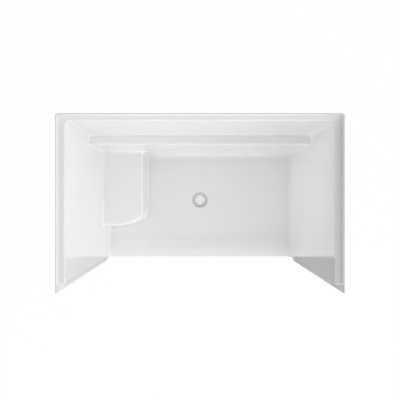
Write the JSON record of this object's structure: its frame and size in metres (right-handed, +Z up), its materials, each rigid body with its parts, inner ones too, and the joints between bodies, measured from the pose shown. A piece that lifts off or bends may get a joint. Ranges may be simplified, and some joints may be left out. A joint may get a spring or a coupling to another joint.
{
  "type": "shower stall with seat",
  "caption": "Open alcove shower stall in white acrylic on glass-fibre laminate, with a seat at the left end, a ledge across the back, a low sill and a floor drain with a lift-out strainer.",
  "frame": {"origin": "on the ground, under the middle of the whole unit's outside box", "axes": "+Z up, -Y towards the open entry side, +X to the right seen from the entry, seat on the -X side"},
  "size_m": [1.524, 0.948, 1.93],
  "materials": {
    "acrylic": "glossy white acrylic sheet",
    "laminate": "rough chopped-strand glass-fibre laminate",
    "plywood": "raw plywood, partly wetted with resin",
    "timber": "raw sawn softwood",
    "white_plastic": "white moulded plastic",
    "sealant": "pale silicone",
    "rubber": "black rubber",
    "fibre": "pressed brown fibre",
    "steel": "brushed stainless steel"
  },
  "bodies": {
    "stall": {"acrylic_shell": "acrylic", "fibreglass_backing": "laminate", "floor_core": "plywood", "floor_bearers": "timber", "sill_beam": "timber", "seat_board": "plywood", "seat_riser_board": "plywood", "seat_posts": "timber", "left_wall_board": "plywood", "right_wall_board": "plywood", "back_wall_board": "plywood", "left_wall_ribs": "timber", "right_wall_ribs": "timber", "lower_back_ribs": "timber", "upper_back_ribs": "timber", "shelf_batten": "timber", "left_column_stud": "timber", "right_column_stud": "timber", "drain_body": "white_plastic", "drain_seal": "sealant", "drain_washer": "rubber", "friction_washer": "fibre", "drain_locknut": "white_plastic"},
    "strainer": {"strainer": "steel"}
  },
  "joints": [
    {"name": "strainer_lift", "type": "slide", "parent": "stall", "child": "strainer", "axis": [0, 0, 1], "range_m": [0, 0.06]}
  ]
}
